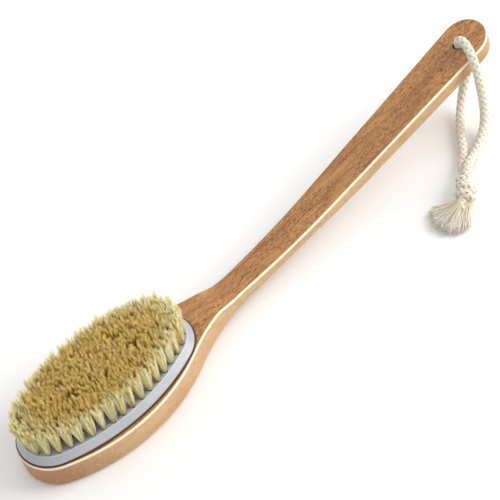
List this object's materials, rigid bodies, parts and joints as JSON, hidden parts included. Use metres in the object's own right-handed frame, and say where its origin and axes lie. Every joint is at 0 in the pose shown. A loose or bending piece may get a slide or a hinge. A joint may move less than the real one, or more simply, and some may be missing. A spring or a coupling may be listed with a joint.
{
  "type": "body dry brush",
  "caption": "Long-handled body brush: oval wooden head with a tufted bristle plate, gently curved handle and a knotted hanging cord.",
  "frame": {"origin": "on the surface that the brush lies on, under the middle of the brush's length, without its cord", "axes": "+X along the handle from the head to the hanging hole, +Z out of the bristles, +Y across the head"},
  "size_m": [0.4, 0.1179, 0.06],
  "materials": {
    "beech": "satin lacquer",
    "white_plastic": "smooth",
    "adhesive": "hot-melt",
    "bristle": "natural bristle",
    "anchor_wire": "drawn wire",
    "cotton_cord": "braided cotton",
    "cotton_knot": "braided cotton",
    "cotton_tassel": "frayed cotton"
  },
  "bodies": {
    "brush": {"wooden_handle": "beech", "bristle_plate": "white_plastic", "plate_adhesive": "adhesive", "tufts_outer": "bristle", "tufts_second": "bristle", "tufts_third": "bristle", "tufts_inner": "bristle", "tufts_middle": "bristle", "anchors_outer": "anchor_wire", "anchors_second": "anchor_wire", "anchors_third": "anchor_wire", "anchors_inner": "anchor_wire", "anchors_middle": "anchor_wire"},
    "cord_loop": {"hanging_cord": "cotton_cord", "cord_knot": "cotton_knot", "cord_tassel": "cotton_tassel"}
  },
  "joints": [
    {"name": "loop_swing", "type": "hinge", "parent": "brush", "child": "cord_loop", "pos_m": [0.1795, 0, 0.05017], "axis": [-0.1908, 0, 0.9816], "range_deg": [0, 45]}
  ]
}
